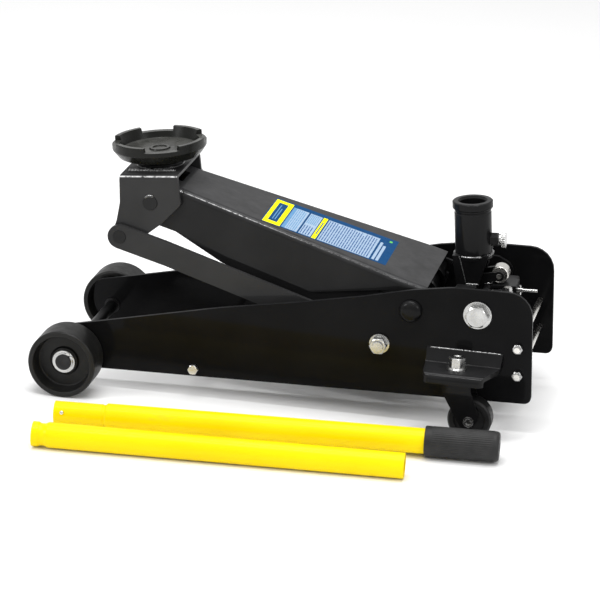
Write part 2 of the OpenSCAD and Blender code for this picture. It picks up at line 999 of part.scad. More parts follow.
// Ring welded on the bracket's top, which the saddle turns on
module bracket_collar() {
    color(BLACK)
        in_head()
            translate([saddle_x, 0, bracket_top])
                difference() {
                    cylinder(h = saddle_under - bracket_top - gap, r = 30);
                    translate([0, 0, -1])
                        cylinder(h = 10, r = stem_r + fit);
                }
}

// Pins fixed in the bracket's cheeks, with the links turning on their outer ends
module link_front_pins() {
    color(BLACK)
        in_head()
            both_sides()
                ycyl(link_pin_local, bracket_w - bracket_t, bracket_w + 1.3 + link_t + 0.8, 8.5);
}

// Link bar, joggled outwards towards the rear
module link_bar() {
    front_in = bracket_w + 1.3;
    plan = [[20, front_in], [120, front_in], [385, link_in], [430, link_in],
        [430, link_in + link_t], [384, link_in + link_t], [119, front_in + link_t], [20, front_in + link_t]];
    difference() {
        intersection() {
            yplate(bar_outline(link_pin_at, link_pivot_at, 16), 0, half_w);
            linear_extrude(400)
                polygon(plan);
        }
        ycyl(link_pin_at, 0, half_w, 8.5 + fit);
        ycyl(link_pivot_at, 0, half_w, link_pin_r + fit);
    }
}

module link_left() {
    color(BLACK)
        pitched()
            mirror([0, 1, 0])
                link_bar();
}

module link_right() {
    color(BLACK)
        pitched()
            link_bar();
}

// Cast dish with four raised lugs round its rim and a stem below
module saddle() {
    color(CAST)
        in_head()
            translate([saddle_x, 0, 0])
                difference() {
                    rotate_extrude()
                        polygon([[0, 24], [stem_r - 1, 24], [stem_r, 25], [stem_r, saddle_under],
                            [30, saddle_under], [31, saddle_under + 6.8],
                            [saddle_r - 9.6, saddle_under + 7.4],
                            [saddle_r - 7.6, saddle_under + 8.6], [saddle_r - 0.6, rim_z - 6.4],
                            [saddle_r, rim_z - 5], [saddle_r, rim_z + lug_h - 0.8],
                            [saddle_r - 0.8, rim_z + lug_h], [saddle_r - 6.6, rim_z + lug_h],
                            [saddle_r - 9, rim_z], [saddle_r - 12, dish_z + 1.5],
                            [saddle_r - 14.5, dish_z], [14, dish_z], [13, dish_z + 1.8],
                            [9.5, dish_z + 1.8], [8.5, dish_z + 0.4], [0, dish_z + 0.4]]);
                    for (i = [0:3])
                        rotate([0, 0, lug_start + lug_sweep + 90 * i])
                            rim_notch();
                    rotate_extrude()
                        polygon([[stem_r - 1.5, 29.5], [stem_r + 1, 29.5], [stem_r + 1, 31.9],
                            [stem_r - 1.5, 31.9]]);
                }
}

// Sector above the lower rim, from angle 0 to the width of a gap between two lugs
module rim_notch() {
    sweep = 90 - lug_sweep;
    far = 90;
    translate([0, 0, rim_z])
        linear_extrude(20)
            polygon([[0, 0], [far, 0], [far * cos(sweep / 2), far * sin(sweep / 2)],
                [far * cos(sweep), far * sin(sweep)]]);
}

module saddle_clip() {
    color(STEEL)
        in_head()
            translate([saddle_x, 0, 29.7])
                difference() {
                    cylinder(h = 2, r = stem_r + 4);
                    translate([0, 0, -1])
                        cylinder(h = 4, r = stem_r - 1.5);
                    translate([-40, -4, -1])
                        cube([40, 8, 4]);
                }
}

// ---- Wheels ----

// Cast wheel: thick rim, web sunk from both faces, hub standing up from the web
module front_wheel() {
    out = track_w / 2;
    inn = out - wheel_w;
    web_out = hub_face - 4;
    yturned(axle_at, [
        [axle_r + fit, inn], [18, inn], [18.5, inn + 1], [18.5, web_out - 8], [35, web_out - 8],
        [37.5, inn + 1.5], [38, inn], [wheel_r - 2, inn], [wheel_r, inn + 2], [wheel_r, out - 2],
        [wheel_r - 1.6, out - 0.3], [wheel_r - 3, out], [38.4, out], [37.6, out - 1],
        [35.6, web_out + 2], [34, web_out], [19, web_out], [17.5, hub_face - 0.6], [17, hub_face],
        [axle_r + fit, hub_face]]);
}

module front_wheel_left() {
    color(DARK)
        pitched()
            mirror([0, 1, 0])
                front_wheel();
}

module front_wheel_right() {
    color(DARK)
        pitched()
            front_wheel();
}

// Swivel fork: top plate turned down into two cheeks that trail back to the axle
module caster_fork(side) {
    axle = [caster_trail, caster_r];
    outer = fork_in + fork_t;
    cheek = rounded([[-16, fork_top, 3], [20, fork_top, 3], [22, 66, 14],
        [caster_trail + 13, caster_r + 6, 10], [caster_trail + 4, caster_r - 12, 8],
        [caster_trail - 10, caster_r - 9, 8], [-14, 62, 10]]);
    color(BLACK)
        in_caster(side)
            difference() {
                union() {
                    yplate(cheek, -outer, -fork_in);
                    yplate(cheek, fork_in, outer);
                    translate([-15, -outer + 1, fork_top - 3.2])
                        cube([34, 2 * outer - 2, 3.2]);
                    translate([0, 0, fork_top])
                        cylinder(h = shelf_top - shelf_t - 0.4 - fork_top, r = 15);
                }
                translate([0, 0, 60])
                    cylinder(h = 40, r = 6 + fit);
                ycyl(axle, -30, 30, 4);
            }
}

module caster_fork_left() caster_fork(LEFT);

module caster_fork_right() caster_fork(RIGHT);

module caster_wheel(side) {
    h = caster_half;
    color(DARK)
        in_caster(side)
            yturned([caster_trail, caster_r], [
                [4 + fit, -h - 0.9], [8, -h - 0.9], [8, -h + 2], [19, -h + 2], [20, -h], [caster_r - 2.5, -h],
                [caster_r, -h + 2.5], [caster_r, h - 2.5], [caster_r - 2.5, h], [20, h],
                [19, h - 2], [8, h - 2], [8, h + 0.9], [4 + fit, h + 0.9]]);
}

module caster_wheel_left() caster_wheel(LEFT);

module caster_wheel_right() caster_wheel(RIGHT);

// Kingpins: flanged hexagon head above the shelf, lock nut under the fork
module kingpin_bolts() {
    color(STEEL)
        for (side = [LEFT, RIGHT])
            in_caster(side) {
                translate([0, 0, fork_top - 10])
                    cylinder(h = shelf_top - fork_top + 10, r = 6);
                translate([0, 0, fork_top - 11])
                    cylinder(h = 7.3, r = 10, $fn = 6);
                translate([0, 0, shelf_top])
                    cylinder(h = 2.6, r = 12.5);
                translate([0, 0, shelf_top + 2.6])
                    cylinder(h = 1.6, r1 = 12, r2 = 10.4);
                difference() {
                    intersection() {
                        translate([0, 0, shelf_top + 4.2])
                            cylinder(h = 12.6, r = 10.4, $fn = 6);
                        translate([0, 0, shelf_top + 4.2])
                            rotate_extrude()
                                polygon([[0, 0], [10.8, 0], [10.8, 11], [8.5, 12.6], [0, 12.6]]);
                    }
                    translate([0, 0, shelf_top + 15.8])
                        cylinder(h = 3, r1 = 5, r2 = 7);
                }
            }
}

module caster_axle(side) {
    outer = fork_in + fork_t;
    color(STEEL)
        in_caster(side)
            difference() {
                union() {
                    ycyl([caster_trail, caster_r], -outer - 2.4, outer + 2.4, 4);
                    for (end = [0, 1])
                        mirror([0, end, 0])
                            ycyl([caster_trail, caster_r], outer, outer + 2.4, 6.8);
                }
                for (end = [0, 1])
                    mirror([0, end, 0])
                        ycyl([caster_trail, caster_r], outer + 0.8, outer + 5, 3.8);
            }
}

module caster_axle_left() caster_axle(LEFT);

module caster_axle_right() caster_axle(RIGHT);

// ---- Loose handle ----

// Tube drawn to a path of [radius, distance] points, all of one wall thickness
module handle_tube(path) {
    n = len(path) - 1;
    rotate_extrude()
        polygon(concat(path, [for (i = [n:-1:0]) [path[i].x - tube_wall, path[i].y]]));
}

module handle_lower() {
    neck_r = tube_r - 2.1;
    rim_r = tube_r - 0.4;
    color(YELLOW)
        in_handle(lower_start, 0)
            difference() {
                handle_tube([[rim_r, 0], [rim_r, 7], [neck_r, 10], [neck_r, 15], [tube_r, 20],
                    [tube_r, lower_len]]);
                button_place(lower_len - spigot_len + button_at, 75, tube_r - tube_wall - 1)
                    cylinder(h = 8, r = button_r + 0.2);
            }
}

module handle_upper() {
    color(YELLOW)
        in_handle(upper_start, upper_rise)
            difference() {
                handle_tube([[spigot_r, 0], [spigot_r, spigot_len - 1], [spigot_r - 0.7, spigot_len],
                    [spigot_r - 0.7, spigot_len + 2], [tube_r, spigot_len + 5],
                    [tube_r, upper_len + grip_len - 4]]);
                button_place(button_at, -110, 0)
                    cylinder(h = 20, r = button_r + 0.1);
            }
}

// Place on a tube: a distance along it, an angle round it, a radius out from its axis
module button_place(along, angle, r) {
    translate([0, 0, along])
        rotate([0, 0, angle])
            rotate([0, 90, 0])
                translate([0, 0, r])
                    children();
}

module snap_button() {
    inside = spigot_r - tube_wall - 2;
    color(STEEL)
        in_handle(upper_start, upper_rise)
            button_place(button_at, -110, inside) {
                cylinder(h = spigot_r - inside + 1.5, r = button_r);
                translate([0, 0, spigot_r - inside + 1.5])
                    cylinder(h = 1, r1 = button_r, r2 = button_r - 1);
            }
}

module handle_grip() {
    color(DARK)
        in_handle(upper_start, upper_rise)
            translate([0, 0, upper_len])
                rotate_extrude()
                    polygon([[tube_r, 0], [grip_r - 1, 0], [grip_r, 1.2], [grip_r, grip_len - 3],
                        [grip_r - 3, grip_len], [6, grip_len], [5, grip_len - 1], [5, grip_len - 4],
                        [tube_r, grip_len - 4]]);
}

// ---- Nodes ----

side_plate_left();
side_plate_right();
caster_shelf_left();
caster_shelf_right();
front_axle();
axle_washers();
axle_circlips();
front_tie_bolt();
rear_tie_rods();
tie_nuts();
arm_pivot_shaft();
arm_pivot_caps();
link_pivot_bolts();
link_pivot_nuts();
yoke_pivot_bolts();
pump_block();
cylinder_tank();
gland_nut();
block_plugs();
ram();
crosshead();
return_springs();
pump_plunger();
plunger_cap();
pump_spring();
release_valve();
release_cross_pin();
socket_tube();
yoke_neck();
yoke_fork();
pump_roller();
roller_pin();
clamp_boss();
clamp_screw();
lift_arm();
arm_hub();
arm_levers();
lever_pin();
head_pin();
saddle_bracket();
bracket_collar();
link_front_pins();
link_left();
link_right();
saddle();
saddle_clip();
front_wheel_left();
front_wheel_right();
caster_fork_left();
caster_fork_right();
caster_wheel_left();
caster_wheel_right();
kingpin_bolts();
caster_axle_left();
caster_axle_right();
handle_lower();
handle_upper();
handle_grip();
snap_button();
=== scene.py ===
import json
import math

import bmesh
import bpy
from mathutils import Matrix, Vector


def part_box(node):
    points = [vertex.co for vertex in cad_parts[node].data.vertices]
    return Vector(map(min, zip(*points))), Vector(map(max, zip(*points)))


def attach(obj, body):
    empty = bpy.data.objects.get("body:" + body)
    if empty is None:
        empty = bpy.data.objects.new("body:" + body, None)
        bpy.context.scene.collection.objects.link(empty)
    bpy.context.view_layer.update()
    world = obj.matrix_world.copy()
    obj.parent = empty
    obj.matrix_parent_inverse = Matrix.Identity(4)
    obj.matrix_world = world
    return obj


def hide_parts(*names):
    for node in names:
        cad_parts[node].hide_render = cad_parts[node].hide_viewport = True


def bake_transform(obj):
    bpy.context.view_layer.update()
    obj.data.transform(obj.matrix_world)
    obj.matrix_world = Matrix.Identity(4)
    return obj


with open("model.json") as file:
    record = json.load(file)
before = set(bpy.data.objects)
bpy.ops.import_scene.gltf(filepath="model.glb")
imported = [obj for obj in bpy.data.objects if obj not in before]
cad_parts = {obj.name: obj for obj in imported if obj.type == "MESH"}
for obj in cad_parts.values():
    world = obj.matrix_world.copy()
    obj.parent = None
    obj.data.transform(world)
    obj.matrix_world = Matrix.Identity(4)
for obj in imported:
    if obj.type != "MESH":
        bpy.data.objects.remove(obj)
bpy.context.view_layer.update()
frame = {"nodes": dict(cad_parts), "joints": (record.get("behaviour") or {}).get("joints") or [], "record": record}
nodes = frame["nodes"]
joints = {j["name"]: j for j in frame["joints"]}
MM = 0.001
AXLE_Z = 44.6  # height of the front axle above the line that the jack was drawn on, in mm
USUAL_ROUNDING = 0.4


# ---- Places, all from the frame ----

def middle(node):
    low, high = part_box(node)
    return (low + high) / 2


home = middle("front_axle")
home.z = 0
middle_y = home.y
arm_at = Vector(joints["arm_lift"]["pos_m"])
head_at = Vector(joints["head_level"]["pos_m"])
ram_axis = Vector(joints["ram_slide"]["axis"]).normalized()
stroke_axis = Vector(joints["pump_stroke"]["axis"]).normalized()
head_up = Vector(joints["saddle_swivel"]["axis"]).normalized()
socket_out = Vector(joints["clamp_turn"]["axis"]).normalized()
across = Vector((0, 1, 0))


def basis(origin, x, y, z):
    m = Matrix((x, y, z)).transposed().to_4x4()
    m.translation = origin
    return m


# Frame as it stands: x to the rear, z up, both tipped with the side plates
plate_space = basis(home + Vector((0, 0, AXLE_Z * MM)), -ram_axis, across, -stroke_axis)
# Arm: x from its rear pivot to its front pin, z out of its top face
arm_dir = (head_at - arm_at).normalized()
arm_space = basis(arm_at, arm_dir, -across, arm_dir.cross(-across))
# Head: x to the rear, z up the saddle's axis, origin at the head pin
head_space = basis(head_at, across.cross(head_up), across, head_up)
# Socket: x out along the clamp screw, z up the bore, origin at the tube's lower end
socket_up = socket_out.cross(across)
socket_at = Vector(joints["clamp_turn"]["pos_m"]) - socket_out * 30 * MM - socket_up * 17 * MM
socket_space = basis(socket_at, socket_out, across, socket_up)


# ---- Materials ----

class Shader:
    """A material's node graph, read from left to right."""

    def __init__(self, name, base, rough, metallic=0.0, coat=0.0, coat_rough=0.1, spec=0.5):
        self.mat = bpy.data.materials.new(name)
        self.mat.use_nodes = True
        self.tree = self.mat.node_tree
        self.bsdf = self.tree.nodes["Principled BSDF"]
        self.bsdf.inputs["Base Color"].default_value = (*base, 1)
        self.bsdf.inputs["Roughness"].default_value = rough
        self.bsdf.inputs["Metallic"].default_value = metallic
        self.bsdf.inputs["Coat Weight"].default_value = coat
        self.bsdf.inputs["Coat Roughness"].default_value = coat_rough
        self.bsdf.inputs["Specular IOR Level"].default_value = spec
        self.coords = self.tree.nodes.new("ShaderNodeTexCoord").outputs["Object"]
        self.normal = None

    def node(self, kind, inputs=None, **settings):
        n = self.tree.nodes.new(kind)
        for key, value in settings.items():
            setattr(n, key, value)
        for key, value in (inputs or {}).items():
            if isinstance(value, bpy.types.NodeSocket):
                self.tree.links.new(value, n.inputs[key])
            else:
                n.inputs[key].default_value = value
        return n

    def stretched(self, scale):
        return self.node("ShaderNodeMapping", {"Vector": self.coords, "Scale": scale}).outputs["Vector"]

    def noise(self, scale, detail=3.0, rough=0.5, stretch=None, distortion=0.0):
        where = self.stretched(stretch) if stretch else self.coords
        return self.node("ShaderNodeTexNoise", {"Vector": where, "Scale": scale, "Detail": detail,
                                                "Roughness": rough, "Distortion": distortion}).outputs["Fac"]

    def ramp(self, value, low, high, to_low=0.0, to_high=1.0):
        return self.node("ShaderNodeMapRange", {"Value": value, "From Min": low, "From Max": high,
                                                "To Min": to_low, "To Max": to_high}).outputs["Result"]

    def math(self, operation, a, b):
        return self.node("ShaderNodeMath", {0: a, 1: b}, operation=operation).outputs["Value"]

    def mix(self, share, a, b):
        n = self.tree.nodes.new("ShaderNodeMix")
        n.data_type = "RGBA"
        for socket, value in (("Factor", share), ("A", a), ("B", b)):
            target = [s for s in n.inputs if s.name == socket and s.enabled][0]
            if isinstance(value, bpy.types.NodeSocket):
                self.tree.links.new(value, target)
            else:
                target.default_value = (*value, 1) if isinstance(value, tuple) else value
        return [s for s in n.outputs if s.enabled][0]

    def to(self, socket, value):
        self.tree.links.new(value, self.bsdf.inputs[socket])

    def bump(self, height, strength, depth):
        inputs = {"Height": height, "Strength": strength, "Distance": depth}
        if self.normal is not None:
            inputs["Normal"] = self.normal
        self.normal = self.node("ShaderNodeBump", inputs).outputs["Normal"]
        self.tree.links.new(self.normal, self.bsdf.inputs["Normal"])


def black_paint(name, dark, light, rough_low, rough_high, wavy=0.25, peel=0.12, coat=0.05, spec=0.16,
                coat_rough=0.16, dust_and_sheen=0.35, painted_highlights=()):
    """Black enamel over sheet or tube: faint orange peel, uneven gloss, and grey on what faces up, partly dust and
    partly painted sheen.

    The painted highlights are listed by the way each faces, how many degrees round that, how much,
    and the stretch along x over which each fades away; each lays a light grey base colour, broken up by noise.
    """
    s = Shader(name, light, rough_low, coat=coat, coat_rough=coat_rough, spec=spec)
    cloud = s.noise(9, 4)
    tone = s.mix(s.ramp(cloud, 0.35, 0.7), dark, light)
    facing = s.node("ShaderNodeNewGeometry").outputs["Normal"]
    up = s.node("ShaderNodeSeparateXYZ", {0: facing}).outputs["Z"]
    # Grey on faces that point up, in patches: partly dust, partly painted sheen that lightens the tops.
    patchy = s.ramp(s.noise(60, 6, 0.65), 0.3, 0.75, 0.4 * dust_and_sheen, dust_and_sheen)
    dust_and_sheen_mask = s.math("MULTIPLY", s.ramp(up, 0.2, 1.0), patchy)
    colour = s.mix(dust_and_sheen_mask, tone, (0.06, 0.06, 0.062))
    # Painted highlights: a light grey base colour in bands where the surface faces a given way, broken up by
    # noise.
    if painted_highlights:
        own_facing = s.node("ShaderNodeTexCoord").outputs["Normal"]
        highlight_breakup = s.ramp(s.noise(260, 4, 0.6), 0.36, 0.56)
    for towards, spread, share, fade in painted_highlights:
        dot = s.node("ShaderNodeVectorMath", {0: own_facing, 1: towards}, operation="DOT_PRODUCT")
        agree = dot.outputs["Value"]
        edge = s.ramp(agree, math.cos(math.radians(spread)), math.cos(math.radians(spread * 0.4)), 0.0, share)
        where = s.node("ShaderNodeSeparateXYZ", {0: s.coords}).outputs["X"]
        edge = s.math("MULTIPLY", edge, s.ramp(where, fade[0], fade[1], 0.0, 1.0))
        colour = s.mix(s.math("MULTIPLY", edge, highlight_breakup), colour, (0.8, 0.8, 0.8))
    s.to("Base Color", colour)
    s.to("Roughness", s.ramp(s.noise(22, 5, 0.6), 0.3, 0.72, rough_low, rough_high))
    s.bump(s.noise(14, 2), wavy, 0.004)
    s.bump(s.noise(420, 2), peel, 0.0006)
    return s.mat


def bright_metal(name, colour, tint, rough_low, rough_high, scratch=(0, 0, 0), grain=0.15):
    """Turned or plated steel: fine marks, cloudy roughness and slight colour shifts."""
    s = Shader(name, colour, rough_low, metallic=1.0)
    s.to("Base Color", s.mix(s.ramp(s.noise(70, 4, 0.6), 0.3, 0.7), colour, tint))
    s.to("Roughness", s.ramp(s.noise(160, 5, 0.7), 0.3, 0.7, rough_low, rough_high))
    if any(scratch):
        s.bump(s.noise(40, 5, 0.7, stretch=scratch), grain, 0.0004)
    s.bump(s.noise(900, 2), 0.06, 0.0003)
    return s.mat


def casting(name, dark, light, rough_low, rough_high, grit=0.5, coat=0.1, spec=0.2, dust_and_sheen=0.0):
    """Painted or coated sand casting: coarse grain under a thin coat, greyer where it faces up, partly from dust
    and partly from painted sheen.
    """
    s = Shader(name, light, rough_low, coat=coat, coat_rough=0.2, spec=spec)
    tone = s.mix(s.ramp(s.noise(35, 6, 0.65), 0.3, 0.7), dark, light)
    up = s.node("ShaderNodeSeparateXYZ", {0: s.node("ShaderNodeNewGeometry").outputs["Normal"]}).outputs["Z"]
    # Grey on faces that point up, in patches: partly dust, partly painted sheen that lightens the tops.
    patchy = s.ramp(s.noise(28, 5, 0.6), 0.35, 0.65, 0.3 * dust_and_sheen, dust_and_sheen)
    s.to("Base Color", s.mix(s.math("MULTIPLY", s.ramp(up, 0.75, 1.0), patchy), tone, (0.09, 0.09, 0.084)))
    s.to("Roughness", s.ramp(s.noise(90, 5, 0.6), 0.3, 0.7, rough_low, rough_high))
    s.bump(s.noise(55, 3), 0.25, 0.0015)
    s.bump(s.noise(600, 4, 0.7), grit, 0.0004)
    return s.mat


def hard_rubber(name, dark, light, rough_low, rough_high):
    s = Shader(name, light, rough_low, spec=0.25)
    s.to("Base Color", s.mix(s.ramp(s.noise(45, 5, 0.6), 0.35, 0.7), dark, light))
    s.to("Roughness", s.ramp(s.noise(120, 4, 0.6), 0.3, 0.7, rough_low, rough_high))
    s.bump(s.noise(1200, 3, 0.6), 0.2, 0.0003)
    return s.mat


def yellow_paint(name):
    s = Shader(name, (0.95, 0.72, 0.0), 0.3, coat=0.03, coat_rough=0.12, spec=0.1)
    tone = s.mix(s.ramp(s.noise(6, 3), 0.35, 0.7), (0.84, 0.62, 0.0), (0.89, 0.69, 0.002))
    scuff = s.ramp(s.noise(55, 6, 0.7, stretch=(0.25, 1, 1)), 0.66, 0.74, 0.0, 0.5)
    s.to("Base Color", s.mix(scuff, tone, (0.72, 0.58, 0.02)))
    s.to("Roughness", s.ramp(s.noise(40, 5, 0.6), 0.3, 0.7, 0.26, 0.42))
    s.bump(s.noise(11, 2), 0.12, 0.002)
    s.bump(s.noise(500, 2), 0.08, 0.0005)
    return s.mat


def vinyl(name, base, shade):
    """Printed film under a clear gloss laminate."""
    s = Shader(name, base, 0.5, coat=0.01, coat_rough=0.1, spec=0.02)
    s.to("Base Color", s.mix(s.ramp(s.noise(120, 4, 0.6), 0.3, 0.75, 0.0, 0.6), base, shade))
    s.to("Roughness", s.ramp(s.noise(80, 4), 0.3, 0.7, 0.26, 0.4))
    s.bump(s.noise(90, 3), 0.05, 0.0004)
    return s.mat


# A fade that only starts 0.8 m out along x, beyond every node, so the painted highlight shows all along
EVERYWHERE = (0.9, 0.8)


def edge_facing(space, tip):
    """Which way a near-side bend faces, tip degrees down from the top of its part."""
    a = math.radians(tip)
    return tuple(space.col[2].xyz * math.cos(a) - across * math.sin(a))


MATERIALS = {
    "painted_black": black_paint("black_enamel", (0.012, 0.012, 0.0122), (0.02, 0.02, 0.0205), 0.32, 0.46,
                                 coat=0.14, spec=0.05, coat_rough=0.07, dust_and_sheen=0.5),
    # Side plates: a darker copy of the black enamel, the extra darkness painted shade, with a faint painted
    # highlight along the top edges.
    "plate_black": black_paint("plate_enamel_shaded_copy", (0.003, 0.003, 0.0032), (0.0062, 0.0062, 0.0066), 0.34, 0.48,
                               coat=0.09, spec=0.02, coat_rough=0.07, dust_and_sheen=0.3,
                               painted_highlights=[(edge_facing(plate_space, 45), 22, 0.12, EVERYWHERE)]),
    "pump_paint": black_paint("pump_enamel", (0.004, 0.004, 0.0042), (0.009, 0.009, 0.0092), 0.35, 0.5,
                              0.3, 0.3),
    "bright_steel": bright_metal("bright_steel", (0.62, 0.6, 0.56), (0.74, 0.73, 0.7), 0.16, 0.34,
                                 (1, 12, 12)),
    "dark_steel": bright_metal("dark_steel", (0.018, 0.018, 0.019), (0.04, 0.04, 0.04), 0.28, 0.46),
    "zinc": bright_metal("zinc_plate", (0.36, 0.36, 0.355), (0.55, 0.55, 0.54), 0.16, 0.36),
    "spring_steel": bright_metal("spring_wire", (0.22, 0.22, 0.23), (0.34, 0.34, 0.34), 0.25, 0.45),
    "saddle_iron": casting("saddle_casting", (0.004, 0.0042, 0.0036), (0.009, 0.0094, 0.0078), 0.2, 0.36, 0.4,
                           coat=0.16, spec=0.08, dust_and_sheen=0.75),
    "wheel_iron": casting("wheel_casting", (0.005, 0.005, 0.0048), (0.011, 0.011, 0.0105), 0.34, 0.52, 0.3,
                          coat=0.03),
    "caster_black": hard_rubber("caster_tread", (0.004, 0.004, 0.004), (0.009, 0.009, 0.009), 0.4, 0.58),
    "handle_yellow": yellow_paint("yellow_enamel"),
    "grip_rubber": hard_rubber("grip_rubber", (0.014, 0.014, 0.014), (0.028, 0.028, 0.028), 0.42, 0.6),
}
# Weld beads: black paint with painted glints where the beads face up and toward the near side.
weld_paint = black_paint("weld_paint", (0.006, 0.006, 0.006), (0.014, 0.014, 0.014), 0.1, 0.2, 0.5, 0.6,
                         coat=1.0, spec=0.6, coat_rough=0.03, painted_highlights=[((0, -0.57, 0.82), 24, 0.8, EVERYWHERE)])
# Socket, yoke, shelves, forks, caps, levers, hub and plunger cap: a darker copy of the black enamel, the extra
# darkness painted shade.
shaded_black_copy = black_paint("black_enamel_shaded_copy", (0.003, 0.003, 0.0032), (0.007, 0.007, 0.0073), 0.3, 0.44, coat=0.16,
                          spec=0.05, coat_rough=0.06, dust_and_sheen=0.25)
# Arm: a sharp painted highlight line along the near bend, fading along x, and a faint wider painted highlight
# beside it.
arm_paint = black_paint("arm_enamel", (0.009, 0.009, 0.0092), (0.016, 0.016, 0.0164), 0.32, 0.46, coat=0.14,
                        spec=0.05, coat_rough=0.07, dust_and_sheen=0.62,
                        painted_highlights=[(edge_facing(arm_space, 46), 6, 0.95, (0.02, -0.08)),
                              (edge_facing(arm_space, 42), 14, 0.05, EVERYWHERE)])
# Head bracket and links: a lighter copy of the black enamel, the extra lightness painted light on their faces,
# with a painted highlight along the bracket's fold.
head_paint_lit_copy = black_paint("head_enamel_lit_copy", (0.022, 0.022, 0.0222), (0.034, 0.034, 0.0345), 0.32, 0.46, coat=0.16,
                         spec=0.05, coat_rough=0.07, dust_and_sheen=0.3,
                         painted_highlights=[(edge_facing(head_space, 45), 13, 0.8, EVERYWHERE)])
film_blue = vinyl("film_blue", (0.0, 0.045, 0.14), (0.0, 0.058, 0.18))
film_yellow = vinyl("film_yellow", (0.84, 0.78, 0.0), (0.72, 0.68, 0.004))
film_white = vinyl("film_white", (0.32, 0.42, 0.54), (0.25, 0.35, 0.48))
film_pale = vinyl("film_pale_blue", (0.12, 0.27, 0.46), (0.09, 0.22, 0.4))
film_ink = vinyl("film_ink", (0.01, 0.06, 0.2), (0.02, 0.09, 0.26))
film_green = vinyl("film_green", (0.12, 0.5, 0.1), (0.1, 0.42, 0.1))


# ---- Edges and shading of the CAD nodes ----

def shading_group():
    """Drops imported normals and marks as sharp what bends more than 32 degrees."""
    g = bpy.data.node_groups.new("smooth_by_angle", "GeometryNodeTree")
    g.interface.new_socket("Geometry", in_out="INPUT", socket_type="NodeSocketGeometry")
    g.interface.new_socket("Geometry", in_out="OUTPUT", socket_type="NodeSocketGeometry")
    start, end = g.nodes.new("NodeGroupInput"), g.nodes.new("NodeGroupOutput")
    drop = g.nodes.new("GeometryNodeRemoveAttribute")
    drop.inputs["Name"].default_value = "custom_normal"
    smooth = g.nodes.new("GeometryNodeSetShadeSmooth")
    sharp = g.nodes.new("GeometryNodeSetShadeSmooth")
    sharp.domain = "EDGE"
    sharp.inputs["Shade Smooth"].default_value = False
    bend = g.nodes.new("GeometryNodeInputMeshEdgeAngle")
    over = g.nodes.new("FunctionNodeCompare")
    over.inputs[1].default_value = math.radians(32)
    g.links.new(start.outputs[0], drop.inputs["Geometry"])
    g.links.new(drop.outputs["Geometry"], smooth.inputs["Geometry"])
    g.links.new(smooth.outputs["Geometry"], sharp.inputs["Geometry"])
    g.links.new(bend.outputs["Unsigned Angle"], over.inputs[0])
    g.links.new(over.outputs[0], sharp.inputs["Selection"])
    g.links.new(sharp.outputs["Geometry"], end.inputs[0])
    return g


shade_by_angle = shading_group()


def soften(obj, width, segments=2):
    """Welds, clears flat faces of their triangles, rounds the edges by width in metres and shades by angle."""
    weld = obj.modifiers.new("weld", "WELD")
    weld.merge_threshold = 2e-6
    flat = obj.modifiers.new("flat", "DECIMATE")
    flat.decimate_type = "DISSOLVE"
    flat.angle_limit = math.radians(0.4)
    if width:
        edge = obj.modifiers.new("edge", "BEVEL")
        edge.width = width
        edge.segments = segments
        edge.limit_method = "ANGLE"
        edge.angle_limit = math.radians(38)
        edge.use_clamp_overlap = True
        edge.miter_outer = "MITER_ARC"
    look = obj.modifiers.new("look", "NODES")
    look.node_group = shade_by_angle
    settle = obj.modifiers.new("settle", "WEIGHTED_NORMAL")
    settle.keep_sharp = True
    settle.weight = 60


ROUNDING = {"side_plate_left": 0.9, "side_plate_right": 0.9, "lift_arm": 0.7, "saddle": 1.3,
            "saddle_bracket": 0.8, "link_left": 0.8, "link_right": 0.8, "caster_shelf_left": 0.8,
            "caster_shelf_right": 0.8, "caster_fork_left": 0.5, "caster_fork_right": 0.5, "pump_block": 1.0,
            "yoke_fork": 0.8, "yoke_neck": 0.8, "front_wheel_left": 0.8, "front_wheel_right": 0.8,
            "return_springs": 0, "pump_spring": 0, "clamp_screw": 0.25, "snap_button": 0.2,
            "axle_circlips": 0.2}

slot_of = {p["node"]: p["material_slot"] for p in frame["record"]["subparts"]}
# Materials by part: zinc for the circlips, the arm's enamel with its painted highlights, and lighter and darker
# copies of the black enamel that paint light and shade.
FINISH_AND_LIGHT_COPIES = {"lift_arm": arm_paint, "saddle_bracket": head_paint_lit_copy, "link_left": head_paint_lit_copy,
          "link_right": head_paint_lit_copy}
FINISH_AND_LIGHT_COPIES["axle_circlips"] = MATERIALS["zinc"]
FINISH_AND_LIGHT_COPIES.update({name: shaded_black_copy for name in (
    "socket_tube", "yoke_neck", "yoke_fork", "clamp_boss", "caster_shelf_left", "caster_shelf_right",
    "caster_fork_left", "caster_fork_right", "arm_pivot_caps", "arm_levers", "arm_hub", "plunger_cap")})
for name, obj in nodes.items():
    obj.data.materials.clear()
    obj.data.materials.append(FINISH_AND_LIGHT_COPIES.get(name, MATERIALS[slot_of[name]]))
    soften(obj, ROUNDING.get(name, USUAL_ROUNDING) * MM)


# ---- Mesh helpers for the pieces made here ----

def piece(name, verts, faces, space, body, materials, smooth=True, indexes=None):
    """A mesh drawn in millimetres in a space, placed in the frame and riding on a body."""
    mesh = bpy.data.meshes.new(name)
    mesh.from_pydata([tuple(c * MM for c in v) for v in verts], [], faces)
    for m in materials:
        mesh.materials.append(m)
    if indexes:
        mesh.polygons.foreach_set("material_index", indexes)
    mesh.polygons.foreach_set("use_smooth", [smooth] * len(mesh.polygons))
    mesh.validate()
    b = bmesh.new()
    b.from_mesh(mesh)
    bmesh.ops.recalc_face_normals(b, faces=b.faces)
    b.to_mesh(mesh)
    b.free()
    obj = bpy.data.objects.new(name, mesh)
    bpy.context.scene.collection.objects.link(obj)
    obj.matrix_world = space
    if body:
        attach(obj, body)
    return obj


